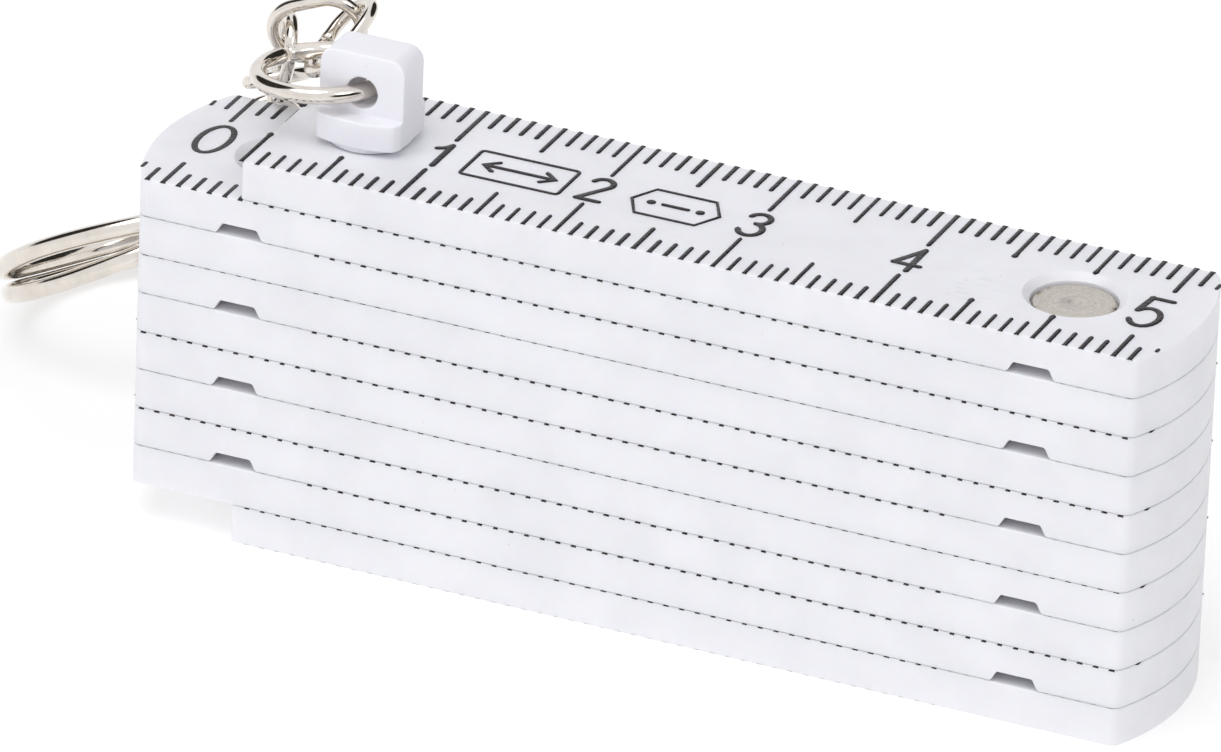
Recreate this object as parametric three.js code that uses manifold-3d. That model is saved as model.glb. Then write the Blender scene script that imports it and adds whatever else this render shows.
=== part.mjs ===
// Pocket folding rule, 0.5 m long when open, on a chain with a split key ring.
// Ten plastic segments lie in a stack and are joined end to end by riveted hinges that fold
// zigzag. A swivelling eyelet on the zero end carries a jump ring, seven chain links and the
// key ring. Millimetres, +X along the rule, +Z up, origin under the middle of the stack.

import * as THREE from 'three';
import { mergeVertices } from 'three/addons/utils/BufferGeometryUtils.js';
import Module from 'manifold-3d';

const wasm = await Module();
wasm.setup();

// ---------------------------------------------------------------- driving dimensions

const SEGMENTS = 10;
const HINGE_PITCH = 50;          // hinge axis to hinge axis
const WIDTH = 13;
const LAYER = 2.5;               // from one segment's underside to the next one's
const THICKNESS = 2.4;
const OVERHANG = 8;              // hinge axis to the crown of a rounded end
const END_RADIUS = 14;           // rounded end, seen from above
const CORNER = 0.7;              // between a rounded end and a long side
const CUT_CORNER = 0.25;         // on the two square ends of the rule
const EDGE = 0.2;                // rounding of the top and bottom edges

const RIVET_RADIUS = 1.3;
const RIVET_HEAD_RADIUS = 2.42;
const RIVET_HEAD_THICKNESS = 0.45;
const RIVET_HEAD_CHAMFER = 0.1;
const RIVET_HEAD_DEPTH = 0.5;    // below the face of the segment
const RIVET_CLEARANCE = 0.05;
const SEAT_RADIUS = 2.62;        // recess that holds a rivet head
const RIM_RADIUS = 2.95;         // the same recess at the face
const RIM_DEPTH = 0.4;

const NOTCH_BASE = 2.85;         // detent groove across the underside at a hinge
const NOTCH_TOP = 2.25;
const NOTCH_DEPTH = 0.62;

const EYELET_X = 5.3;            // from the zero end
const EYELET_WIDTH = 5.4;        // along the rule
const EYELET_DEPTH = 2.8;        // across the rule
const EYELET_HEIGHT = 5.9;       // above the rule's face
const EYELET_CORNER = 1.0;
const EYELET_EDGE = 0.15;
const FLANGE_LOW = 0.35;
const FLANGE_HIGH = 2.1;
const FLANGE_REACH = 2.65;       // from the swivel axis to the front of the flange
const FLANGE_SIDE_REACH = 1.9;   // the same at the flange's two corners
const FLANGE_CHAMFER = 0.5;
const FLANGE_OVERLAP = 0.4;       // of the block and the collar inside the flange
const COLLAR_RADIUS = 2.45;
const EYELET_HOLE_RADIUS = 1.05;
const EYELET_HOLE_HEIGHT = 3.35;
const EYELET_HOLE_FLARE = 0.15;
const PIVOT_RADIUS = 1.5;
const PIVOT_CLEARANCE = 0.08;
const FOOT_RADIUS = 2.3;
const FOOT_THICKNESS = 0.5;
const FOOT_CLEARANCE = 0.1;
const FOOT_RECESS_RADIUS = 2.6;
const FOOT_RECESS_DEPTH = 0.75;

const JUMP_WIRE = 1.04;
const JUMP_RADIUS = 3.85;        // to the middle of the wire
const JUMP_GAP = 4;              // degrees, where the ring was opened
const JUMP_GAP_PLACE = 150;      // degrees round from the ring's own X

const LINK_WIRE = 0.8;
const LINK_LENGTH = 6.2;         // outside
const LINK_WIDTH = 4.4;          // outside

const KEY_RING_RADIUS = 10;      // outside
const KEY_RING_WIRE_AXIAL = 1.15;
const KEY_RING_WIRE_RADIAL = 1.3;
const KEY_RING_WIRE_CORNER = 0.3;
const KEY_RING_COIL_STEP = 1.25; // between the middles of the two coils
const KEY_RING_CROSSING = 24;    // degrees of turn over which the wire changes coil

const HOLE_SIDES = 20;
const CUT_PAST = 1;              // how far a cutting tool runs on past a face
const TOP = (SEGMENTS - 1) * LAYER + THICKNESS;
const ZERO_X = -HINGE_PITCH / 2; // the rule's zero end and the hinges above it
const FAR_X = HINGE_PITCH / 2;

// Middle of each chain piece, the way its long side points, and the way its opening faces.
const JUMP_RING_AT = { at: [-23.25, 1.0, 27.87], facing: [-0.066, 0.061, 0.996] };
const KEY_RING_AT = { at: [-40.9, 16.85, 6.35], facing: [-0.457, 0.269, 0.848] };
const LINKS_AT = [
  { at: [-24.18, 5.51, 28.12], along: [0.19, 0.83, 0.52], facing: [-0.64, -0.29, 0.71] },
  { at: [-26.09, 6.32, 27.95], along: [-0.93, -0.18, -0.33], facing: [-0.24, 0.96, 0.14] },
  { at: [-28.33, 6.72, 25.44], along: [-0.28, 0.31, -0.91], facing: [0.87, 0.49, -0.11] },
  { at: [-29.81, 9.24, 22.7], along: [-0.37, 0.82, -0.44], facing: [-0.35, 0.31, 0.88] },
  { at: [-31.38, 12.45, 20.28], along: [-0.31, 0.6, -0.74], facing: [-0.94, -0.33, 0.13] },
  { at: [-32.26, 13.88, 16.38], along: [-0.18, 0.13, -0.97], facing: [0.5, -0.84, -0.21] },
  { at: [-33.22, 13.66, 12.17], along: [-0.16, -0.24, -0.96], facing: [0.48, 0.83, -0.28] },
];

// ---------------------------------------------------------------- materials

const plastic = { color: 0xeaeaef, roughness: 0.42, metalness: 0 };
const steel = { color: 0xb9b3ab, roughness: 0.35, metalness: 1 };
const nickel = { color: 0xc9c2b6, roughness: 0.18, metalness: 1 };

const rule = new THREE.Group();

function addMesh(name, geometry, finish, parent = rule) {
  const mesh = new THREE.Mesh(geometry, new THREE.MeshStandardMaterial(finish));
  mesh.name = name;
  parent.add(mesh);
  return mesh;
}

// ---------------------------------------------------------------- solids

function toSolid(geometry) {
  const bare = geometry.index ? geometry.toNonIndexed() : geometry.clone();
  bare.deleteAttribute('normal');
  bare.deleteAttribute('uv');
  const merged = mergeVertices(bare, 1e-5);
  return new wasm.Manifold(new wasm.Mesh({
    numProp: 3,
    vertProperties: new Float32Array(merged.attributes.position.array),
    triVerts: new Uint32Array(merged.index.array),
  }));
}

function toGeometry(solid) {
  const mesh = solid.getMesh();
  const geometry = new THREE.BufferGeometry();
  geometry.setAttribute('position', new THREE.BufferAttribute(mesh.vertProperties, 3));
  geometry.setIndex(new THREE.BufferAttribute(mesh.triVerts, 1));
  geometry.computeVertexNormals();
  return geometry;
}

function cut(solid, ...tools) {
  return tools.reduce((left, tool) => left.subtract(tool), solid);
}

// A profile of [radius, height] points turned about +Z.
function turned(profile, sides = HOLE_SIDES) {
  const geometry = new THREE.LatheGeometry(profile.map(([r, z]) => new THREE.Vector2(r, z)), sides);
  return geometry.rotateX(Math.PI / 2);
}

// An outline in X and Y raised from one height to another, with rounded top and bottom edges.
function slab(outline, low, high, edge, curveSegments = 4) {
  const geometry = new THREE.ExtrudeGeometry(outline, {
    depth: high - low - 2 * edge,
    bevelEnabled: edge > 0,
    bevelThickness: edge,
    bevelSize: edge,
    bevelOffset: -edge,
    bevelSegments: 1,
    curveSegments,
  });
  return geometry.translate(0, 0, low + edge);
}

// ---------------------------------------------------------------- segments

// Adds one rounded end, from the lower long side to the upper one; side is +1 or -1.
function roundedEnd(shape, hingeX, side) {
  const half = WIDTH / 2;
  const arcX = hingeX + side * (OVERHANG - END_RADIUS);
  const run = Math.sqrt((END_RADIUS - CORNER) ** 2 - (half - CORNER) ** 2);
  const cornerX = arcX + side * run;
  const cornerY = half - CORNER;
  const tip = Math.atan2(cornerY, run);
  const from = side > 0 ? -1 : 1;
  const turn = (angle) => (side > 0 ? angle : angle + Math.PI);
  shape.absarc(cornerX, from * cornerY, CORNER, turn(-Math.PI / 2), turn(-tip), false);
  shape.absarc(arcX, 0, END_RADIUS, turn(-tip), turn(tip), false);
  shape.absarc(cornerX, -from * cornerY, CORNER, turn(tip), turn(Math.PI / 2), false);
}

// The zero end is cut square, from its upper corner to its lower one.
function squareEnd(shape) {
  const x = ZERO_X + CUT_CORNER;
  const y = WIDTH / 2 - CUT_CORNER;
  shape.absarc(x, y, CUT_CORNER, Math.PI / 2, Math.PI, false);
  shape.absarc(x, -y, CUT_CORNER, Math.PI, 1.5 * Math.PI, false);
}

function segmentOutline(squareZeroEnd) {
  const shape = new THREE.Shape();
  roundedEnd(shape, FAR_X, 1);
  if (squareZeroEnd) squareEnd(shape);
  else roundedEnd(shape, ZERO_X, -1);
  return shape;
}

// The flared recess for one rivet head, opening upward from the face at height 0.
function headRecess() {
  const floor = -(RIVET_HEAD_DEPTH + RIVET_HEAD_THICKNESS + RIVET_CLEARANCE);
  return turned([
    [0, floor],
    [SEAT_RADIUS, floor],
    [SEAT_RADIUS, -RIM_DEPTH],
    [RIM_RADIUS, 0],
    [RIM_RADIUS, CUT_PAST],
    [0, CUT_PAST],
  ]);
}

function throughHole(x, z) {
  const reach = THICKNESS + CUT_PAST;
  const radius = RIVET_RADIUS + RIVET_CLEARANCE;
  const hole = turned([[0, -reach], [radius, -reach], [radius, reach], [0, reach]]);
  return toSolid(hole.translate(x, 0, z));
}

// At a hinge the upper segment has the head recess on top and the detent groove below.
function upperHingeCuts(x, low) {
  const recess = headRecess().translate(x, 0, low + THICKNESS);
  const profile = new THREE.Shape();
  profile.moveTo(-NOTCH_BASE / 2, -CUT_PAST);
  profile.lineTo(NOTCH_BASE / 2, -CUT_PAST);
  profile.lineTo(NOTCH_BASE / 2, 0);
  profile.lineTo(NOTCH_TOP / 2, NOTCH_DEPTH);
  profile.lineTo(-NOTCH_TOP / 2, NOTCH_DEPTH);
  profile.lineTo(-NOTCH_BASE / 2, 0);
  const groove = new THREE.ExtrudeGeometry(profile, { depth: WIDTH + 2 * CUT_PAST, bevelEnabled: false });
  groove.rotateX(Math.PI / 2).translate(x, WIDTH / 2 + CUT_PAST, low);
  return [toSolid(recess), throughHole(x, low), toSolid(groove)];
}

function lowerHingeCuts(x, low) {
  const recess = headRecess().rotateX(Math.PI).translate(x, 0, low);
  return [toSolid(recess), throughHole(x, low)];
}

function eyeletCuts(low) {
  const hole = PIVOT_RADIUS + PIVOT_CLEARANCE;
  const bore = turned([
    [0, -CUT_PAST],
    [FOOT_RECESS_RADIUS, -CUT_PAST],
    [FOOT_RECESS_RADIUS, FOOT_RECESS_DEPTH],
    [hole, FOOT_RECESS_DEPTH],
    [hole, THICKNESS + CUT_PAST],
    [0, THICKNESS + CUT_PAST],
  ]);
  return [toSolid(bore.translate(ZERO_X + EYELET_X, 0, low))];
}

function segmentLow(number) {
  return (SEGMENTS - number) * LAYER;
}

// Hinges of odd-numbered segments down to the next one are at the far end.
function hingeX(upperNumber) {
  return upperNumber % 2 === 1 ? FAR_X : ZERO_X;
}

function segment(number) {
  const low = segmentLow(number);
  const square = number === 1 || number === SEGMENTS;
  const cuts = [];
  if (number < SEGMENTS) cuts.push(...upperHingeCuts(hingeX(number), low));
  if (number > 1) cuts.push(...lowerHingeCuts(hingeX(number - 1), low));
  if (number === 1) cuts.push(...eyeletCuts(low));
  return toGeometry(cut(toSolid(slab(segmentOutline(square), low, low + THICKNESS, EDGE)), ...cuts));
}

// One rivet: a head in the upper segment, a shank, and the set tail in the lower one.
function rivet(upperNumber) {
  const top = segmentLow(upperNumber) + THICKNESS - RIVET_HEAD_DEPTH;
  const bottom = segmentLow(upperNumber + 1) + RIVET_HEAD_DEPTH;
  const chamfer = RIVET_HEAD_CHAMFER;
  const head = RIVET_HEAD_RADIUS;
  return turned([
    [0, bottom],
    [head - chamfer, bottom],
    [head, bottom + chamfer],
    [head, bottom + RIVET_HEAD_THICKNESS],
    [RIVET_RADIUS, bottom + RIVET_HEAD_THICKNESS],
    [RIVET_RADIUS, top - RIVET_HEAD_THICKNESS],
    [head, top - RIVET_HEAD_THICKNESS],
    [head, top - chamfer],
    [head - chamfer, top],
    [0, top],
  ]).translate(hingeX(upperNumber), 0, 0);
}

for (let number = 1; number <= SEGMENTS; number += 1) {
  const label = String(number).padStart(2, '0');
  addMesh(`segment_${label}`, segment(number), plastic);
  if (number < SEGMENTS) addMesh(`rivet_${label}`, rivet(number), steel);
}

// ---------------------------------------------------------------- eyelet

// Seen from above: a strip as wide as the block, with a bulged front and back.
function flangeOutline() {
  const half = EYELET_WIDTH / 2;
  const side = FLANGE_SIDE_REACH;
  const chamfer = FLANGE_CHAMFER;
  const shape = new THREE.Shape();
  shape.moveTo(-half, side - chamfer);
  shape.lineTo(-half, -side + chamfer);
  shape.quadraticCurveTo(-half, -side, -half + chamfer, -side - chamfer / 4);
  shape.quadraticCurveTo(0, side - 2 * FLANGE_REACH, half - chamfer, -side - chamfer / 4);
  shape.quadraticCurveTo(half, -side, half, -side + chamfer);
  shape.lineTo(half, side - chamfer);
  shape.quadraticCurveTo(half, side, half - chamfer, side + chamfer / 4);
  shape.quadraticCurveTo(0, 2 * FLANGE_REACH - side, -half + chamfer, side + chamfer / 4);
  shape.quadraticCurveTo(-half, side, -half, side - chamfer);
  return shape;
}

// Seen from the front: an upright block with rounded top corners.
function blockOutline() {
  const half = EYELET_WIDTH / 2;
  const low = FLANGE_HIGH - FLANGE_OVERLAP;
  const shape = new THREE.Shape();
  shape.moveTo(-half, low);
  shape.lineTo(half, low);
  shape.absarc(half - EYELET_CORNER, EYELET_HEIGHT - EYELET_CORNER, EYELET_CORNER, 0, Math.PI / 2);
  shape.absarc(-half + EYELET_CORNER, EYELET_HEIGHT - EYELET_CORNER, EYELET_CORNER, Math.PI / 2, Math.PI);
  return shape;
}

function eyelet() {
  const block = slab(blockOutline(), -EYELET_DEPTH / 2, EYELET_DEPTH / 2, EYELET_EDGE, 4);
  const flange = slab(flangeOutline(), FLANGE_LOW, FLANGE_HIGH, EYELET_EDGE, 5);
  const footTop = -THICKNESS + FOOT_RECESS_DEPTH - FOOT_CLEARANCE;
  const pivot = turned([
    [0, footTop - FOOT_THICKNESS],
    [FOOT_RADIUS, footTop - FOOT_THICKNESS],
    [FOOT_RADIUS, footTop],
    [PIVOT_RADIUS, footTop],
    [PIVOT_RADIUS, PIVOT_CLEARANCE],
    [COLLAR_RADIUS, PIVOT_CLEARANCE],
    [COLLAR_RADIUS, FLANGE_LOW + FLANGE_OVERLAP],
    [0, FLANGE_LOW + FLANGE_OVERLAP],
  ]);
  const eye = EYELET_HOLE_RADIUS;
  const flare = EYELET_HOLE_FLARE;
  const reach = EYELET_DEPTH / 2;
  const hole = turned([
    [0, -reach - CUT_PAST],
    [eye + flare, -reach - CUT_PAST],
    [eye + flare, -reach],
    [eye, -reach + flare],
    [eye, reach - flare],
    [eye + flare, reach],
    [eye + flare, reach + CUT_PAST],
    [0, reach + CUT_PAST],
  ], 20);
  const body = toSolid(block.rotateX(Math.PI / 2)).add(toSolid(flange)).add(toSolid(pivot));
  return toGeometry(cut(body, toSolid(hole.rotateX(Math.PI / 2).translate(0, 0, EYELET_HOLE_HEIGHT))));
}

addMesh('eyelet', eyelet(), plastic).position.set(ZERO_X + EYELET_X, 0, TOP);

// ---------------------------------------------------------------- rings and chain

// Turns a mesh so that its own Z faces one way and its own X lies along another.
function place(mesh, { at, facing, along }) {
  const z = new THREE.Vector3(...facing).normalize();
  const x = along ? new THREE.Vector3(...along) : new THREE.Vector3(1, 0, 0);
  x.addScaledVector(z, -x.dot(z)).normalize();
  const y = new THREE.Vector3().crossVectors(z, x);
  mesh.quaternion.setFromRotationMatrix(new THREE.Matrix4().makeBasis(x, y, z));
  mesh.position.set(...at);
}

class Arc3 extends THREE.Curve {
  constructor(radius, start, sweep, rise = () => 0) {
    super();
    Object.assign(this, { radius, start, sweep, rise });
  }

  getPoint(t, target = new THREE.Vector3()) {
    const angle = this.start + t * this.sweep;
    const { radius } = this;
    return target.set(radius * Math.cos(angle), radius * Math.sin(angle), this.rise(angle));
  }
}

function jumpRing() {
  const gap = THREE.MathUtils.degToRad(JUMP_GAP);
  const middleOfGap = THREE.MathUtils.degToRad(JUMP_GAP_PLACE);
  const path = new Arc3(JUMP_RADIUS, middleOfGap + gap / 2, 2 * Math.PI - gap);
  const section = new THREE.Shape().absarc(0, 0, JUMP_WIRE / 2, 0, 2 * Math.PI);
  return new THREE.ExtrudeGeometry(section, { extrudePath: path, steps: 32, curveSegments: 5 });
}

// An oval link is a wire ring split in half and drawn apart along X.
function link() {
  const radius = (LINK_WIDTH - LINK_WIRE) / 2;
  const drawn = (LINK_LENGTH - LINK_WIDTH) / 2;
  const rows = 16;
  const geometry = new THREE.TorusGeometry(radius, LINK_WIRE / 2, 8, rows);
  geometry.rotateZ(Math.PI / rows);
  const { position } = geometry.attributes;
  for (let i = 0; i < position.count; i += 1) {
    const x = position.getX(i);
    position.setX(i, x + Math.sign(x) * drawn);
  }
  return toGeometry(toSolid(geometry));
}

// Two turns of flat wire that change from the lower coil to the upper one at a crossing.
function keyRing() {
  const crossing = THREE.MathUtils.degToRad(KEY_RING_CROSSING);
  const end = crossing * 0.75;
  const rise = (angle) => {
    const t = THREE.MathUtils.smoothstep(angle, 2 * Math.PI - crossing / 2, 2 * Math.PI + crossing / 2);
    return KEY_RING_COIL_STEP * (t - 0.5);
  };
  const middle = KEY_RING_RADIUS - KEY_RING_WIRE_RADIAL / 2;
  const path = new Arc3(middle, end, 4 * Math.PI - 2 * end, rise);
  const a = KEY_RING_WIRE_AXIAL / 2;
  const r = KEY_RING_WIRE_RADIAL / 2;
  const corner = KEY_RING_WIRE_CORNER;
  const section = new THREE.Shape();
  section.moveTo(a, -r + corner);
  section.lineTo(a, r - corner);
  section.lineTo(a - corner, r);
  section.lineTo(-a + corner, r);
  section.lineTo(-a, r - corner);
  section.lineTo(-a, -r + corner);
  section.lineTo(-a + corner, -r);
  section.lineTo(a - corner, -r);
  return new THREE.ExtrudeGeometry(section, { extrudePath: path, steps: 72 });
}

place(addMesh('jump_ring', jumpRing(), nickel), JUMP_RING_AT);
LINKS_AT.forEach((where, i) => place(addMesh(`chain_link_${i + 1}`, link(), nickel), where));
place(addMesh('key_ring', keyRing(), nickel), KEY_RING_AT);

export default rule;
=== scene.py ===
"""Looks of the pocket folding rule on its chain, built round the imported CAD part.

Shapes are made in millimetres in the row frame, and each piece is scaled to metres as it is finished.
Marks are made in face coordinates: X along the rule from its zero mark, Y across it, Z out of the face.
"""
import math

import bmesh
import bpy
import numpy as np
from mathutils import Matrix, Quaternion, Vector


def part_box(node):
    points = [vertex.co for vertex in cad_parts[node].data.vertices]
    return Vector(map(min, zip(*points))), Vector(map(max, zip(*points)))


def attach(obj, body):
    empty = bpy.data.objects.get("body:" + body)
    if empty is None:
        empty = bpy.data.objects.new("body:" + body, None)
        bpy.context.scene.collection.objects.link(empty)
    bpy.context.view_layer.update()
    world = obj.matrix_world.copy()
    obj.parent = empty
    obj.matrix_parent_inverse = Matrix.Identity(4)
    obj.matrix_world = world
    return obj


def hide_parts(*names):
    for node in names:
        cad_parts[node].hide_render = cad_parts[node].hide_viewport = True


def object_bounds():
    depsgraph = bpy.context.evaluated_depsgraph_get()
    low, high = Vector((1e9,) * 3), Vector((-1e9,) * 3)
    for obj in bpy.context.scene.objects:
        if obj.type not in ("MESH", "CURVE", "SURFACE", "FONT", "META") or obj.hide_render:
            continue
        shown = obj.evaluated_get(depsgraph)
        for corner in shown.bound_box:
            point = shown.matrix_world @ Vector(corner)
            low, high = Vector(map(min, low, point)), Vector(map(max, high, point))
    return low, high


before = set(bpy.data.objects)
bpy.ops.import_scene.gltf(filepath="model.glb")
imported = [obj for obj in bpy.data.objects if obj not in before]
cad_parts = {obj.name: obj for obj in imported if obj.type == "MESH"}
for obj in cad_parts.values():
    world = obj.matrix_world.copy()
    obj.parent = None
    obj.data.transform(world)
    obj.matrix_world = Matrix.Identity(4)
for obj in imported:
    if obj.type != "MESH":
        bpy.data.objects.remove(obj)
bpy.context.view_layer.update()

MM = 0.001
SEGMENTS = 10
WIDTH = 13.0
THICKNESS = 2.4
OVERHANG = 8.0
END_RADIUS = 14.0
CORNER = 0.7
CUT_CORNER = 0.25
EDGE = 0.09
EDGE_STEPS = 4
SKIRT = 0.075  # how much closer a segment's underside is to the next segment than in the CAD
CUT_PAST = 1.0  # how far a cutting tool reaches past the face it cuts

RIVET_RADIUS = 1.3
HEAD_RADIUS = 2.48
HEAD_THICKNESS = 0.35
HEAD_DEPTH = 0.53
HEAD_ROLL = 0.12
HEAD_DISH = 0.025
DISH_RADIUS = 1.2
DIMPLE_RADIUS = 0.42
DIMPLE_FLOOR_RADIUS = 0.34
DIMPLE_POINT_RADIUS = 0.05
CLEARANCE = 0.05
SEAT_RADIUS = 2.62
RIM_RADIUS = 3.07
RIM_DEPTH = 0.42

NOTCH_BASE = 2.85
NOTCH_TOP = 2.25
NOTCH_DEPTH = 0.62
NOTCH_SOFT = 0.07
NOTCH_FLARE = 0.09

EYELET_HOLE = 1.58
EYELET_HOLE_LIP = 0.1
FOOT_SEAT_RADIUS = 2.6
FOOT_SEAT_DEPTH = 0.75

GATE_RADIUS = 0.42
GATE_TIP_RADIUS = 0.36
GATE_BEVEL = 0.05
GATE_LENGTH = 0.6
GATE_SUNK = 0.02
GATE_Y = 0.4

MARK_HALF_WIDTH = 0.145
EDGE_SPREAD = 1.25  # how much wider a mark is where its ink has run over the edge
MARK_HEIGHT = 0.012
TOP_MARK_HEIGHT = 0.06
DIGIT_HALF_WIDTH = 0.205
FRAME_HALF_WIDTH = 0.125
SIGN_HALF_WIDTH = 0.17
STUB_HALF_WIDTH = 0.13
SMALL_DIGIT = 1.5
LARGE_DIGIT = 1.9
DIGIT_MIDDLE = -0.25
DIGIT_ADVANCE = 1.75


# ---------------------------------------------------------------- mesh helpers

def node_box(name):
    """Lowest and highest corner of a CAD node, in millimetres."""
    low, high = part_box(name)
    return low / MM, high / MM


def middle_x(name):
    low, high = node_box(name)
    return (low.x + high.x) / 2


def mesh_object(name, points, faces):
    mesh = bpy.data.meshes.new(name)
    mesh.from_pydata(points, [], faces)
    mesh.update()
    obj = bpy.data.objects.new(name, mesh)
    bpy.context.scene.collection.objects.link(obj)
    return obj


def face_outward(obj):
    work = bmesh.new()
    work.from_mesh(obj.data)
    bmesh.ops.recalc_face_normals(work, faces=work.faces)
    work.to_mesh(obj.data)
    work.free()
    return obj


def skin_faces(rows, count, cyclic=False):
    """Faces through rows of points, each row a closed loop, with both ends capped unless cyclic."""
    faces = []
    for row in range(rows if cyclic else rows - 1):
        a = row * count
        b = (row + 1) % rows * count
        faces += [(a + i, a + (i + 1) % count, b + (i + 1) % count, b + i) for i in range(count)]
    if not cyclic:
        last = (rows - 1) * count
        faces.append(tuple(reversed(range(count))))
        faces.append(tuple(range(last, last + count)))
    return faces


def loft(name, loops, cyclic=False):
    """A closed skin through loops of the same number of points."""
    points = [point for loop in loops for point in loop]
    return face_outward(mesh_object(name, points, skin_faces(len(loops), len(loops[0]), cyclic)))


def bake(obj):
    """Applies the modifiers to the mesh."""
    graph = bpy.context.evaluated_depsgraph_get()
    mesh = bpy.data.meshes.new_from_object(obj.evaluated_get(graph))
    obj.modifiers.clear()
    obj.data = mesh
    return obj


def combine(obj, operation, tools):
    """Joins the tools to the object or cuts them out of it, and deletes them."""
    for tool in tools:
        modifier = obj.modifiers.new("combine", "BOOLEAN")
        modifier.operation = operation
        modifier.solver = "MANIFOLD"
        modifier.object = tool
    bake(obj)
    for tool in tools:
        bpy.data.objects.remove(tool)
    return obj


def turned(profile, sides=72, x=0.0):
    """A solid turned about Z from (radius, height) points, flat at both ends."""
    loops = []
    for radius, z in profile:
        turns = [math.tau * i / sides for i in range(sides)]
        loops.append([(x + radius * math.cos(a), radius * math.sin(a), z) for a in turns])
    return loft("turned", loops)


def arc(cx, cy, rx, ry, start, end, steps):
    """Points along part of an ellipse, from one angle in degrees to another."""
    angles = [math.radians(start + (end - start) * i / steps) for i in range(steps + 1)]
    return [(cx + rx * math.cos(a), cy + ry * math.sin(a)) for a in angles]


def finish_piece(obj, name, body, material, origin=(0, 0, 0), sharp=32, replaces=True):
    """Names a piece made in millimetres, brings it to metres about its origin and hangs it on its body."""
    origin = Vector(origin)
    obj.name = name
    obj.data.name = name
    obj.data.transform(Matrix.Scale(MM, 4) @ Matrix.Translation(-origin))
    obj.location = origin * MM
    obj.data.materials.clear()
    obj.data.materials.append(material)
    obj.data.shade_smooth()
    obj.data.set_sharp_from_angle(angle=math.radians(sharp))
    modifier = obj.modifiers.new("normals", "WEIGHTED_NORMAL")
    modifier.keep_sharp = True
    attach(obj, body)
    if replaces:
        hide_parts(name)
    return obj


# ---------------------------------------------------------------- material helpers

MIX_SHARE, MIX_FIRST, MIX_SECOND, MIX_RESULT = 0, 6, 7, 2  # the colour sockets of a Mix node


class Recipe:
    """A node material with a Principled shader, built up by short calls."""

    def __init__(self, name, colour, roughness, metallic=0.0):
        self.material = bpy.data.materials.new(name)
        self.material.use_nodes = True
        self.tree = self.material.node_tree
        self.shader = self.tree.nodes["Principled BSDF"]
        self.shader.inputs["Base Color"].default_value = (*colour, 1)
        self.shader.inputs["Roughness"].default_value = roughness
        self.shader.inputs["Metallic"].default_value = metallic
        self.place = self.node("ShaderNodeTexCoord").outputs["Object"]

    def node(self, kind, inputs=None, **settings):
        made = self.tree.nodes.new(kind)
        for key, value in settings.items():
            setattr(made, key, value)
        for key, value in (inputs or {}).items():
            self.feed(made, key, value)
        return made

    def feed(self, node, key, value):
        if isinstance(value, bpy.types.NodeSocket):
            self.tree.links.new(value, node.inputs[key])
        else:
            node.inputs[key].default_value = value

    def set(self, key, value):
        self.feed(self.shader, key, value)

    def noise(self, per_mm, detail=3.0, roughness=0.55, stretch=(1, 1, 1)):
        """Noise with that many lumps in a millimetre, stretched along the axes."""
        scale = self.node("ShaderNodeMapping", {"Vector": self.place, "Scale": stretch})
        values = {"Vector": scale.outputs[0], "Scale": per_mm / MM, "Detail": detail, "Roughness": roughness}
        return self.node("ShaderNodeTexNoise", values).outputs[0]

    def spread(self, value, low, high, to_low=0.0, to_high=1.0):
        """Maps low..high to to_low..to_high, held at both ends."""
        values = {"Value": value, "From Min": low, "From Max": high, "To Min": to_low, "To Max": to_high}
        return self.node("ShaderNodeMapRange", values).outputs[0]

    def maths(self, operation, a, b=0.0):
        return self.node("ShaderNodeMath", {0: a, 1: b}, operation=operation).outputs[0]

    def mix(self, share, first, second):
        values = {MIX_SHARE: share, MIX_FIRST: first, MIX_SECOND: second}
        return self.node("ShaderNodeMix", values, data_type="RGBA").outputs[MIX_RESULT]

    def bump(self, height, strength, distance):
        """Distance is in millimetres."""
        values = {"Height": height, "Strength": strength, "Distance": distance * MM}
        self.set("Normal", self.node("ShaderNodeBump", values).outputs[0])

    def near(self, at, radius):
        """1 at a place in millimetres, falling to 0 at the radius."""
        middle = tuple(c * MM for c in at)
        distance = self.node("ShaderNodeVectorMath", {0: self.place, 1: middle}, operation="DISTANCE")
        return self.spread(distance.outputs["Value"], 0.0, radius * MM, 1.0, 0.0)


def plastic_material(name, clean, shaded, smudges=()):
    """Moulded white plastic: faint cloudiness, a fine moulded skin, specks and handling smudges."""
    recipe = Recipe(name, clean, 0.4)
    cloud = recipe.spread(recipe.noise(0.25, 4), 0.35, 0.7)
    colour = recipe.mix(cloud, (*clean, 1), (*shaded, 1))
    speck = recipe.spread(recipe.noise(2.6, 1), 0.79, 0.83)
    colour = recipe.mix(recipe.maths("MULTIPLY", speck, 0.28), colour, (0.32, 0.31, 0.3, 1))
    streak = recipe.spread(recipe.noise(1.1, 5, 0.7, (0.6, 2.2, 1)), 0.52, 0.72)
    for at, radius, depth in smudges:
        share = recipe.maths("MULTIPLY", recipe.near(at, radius), streak)
        colour = recipe.mix(recipe.maths("MULTIPLY", share, depth), colour, (0.45, 0.45, 0.46, 1))
    recipe.set("Base Color", colour)
    recipe.set("Roughness", recipe.spread(recipe.noise(0.6, 5, 0.65, (1, 2.5, 1)), 0.3, 0.75, 0.3, 0.48))
    recipe.set("Subsurface Weight", 0.45)
    recipe.set("Subsurface Radius", (1.0, 0.9, 0.8))
    recipe.set("Subsurface Scale", 0.8 * MM)
    recipe.set("Specular IOR Level", 0.45)
    recipe.bump(recipe.noise(5.0, 3, 0.6), 0.18, 0.012)
    return recipe.material


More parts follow.
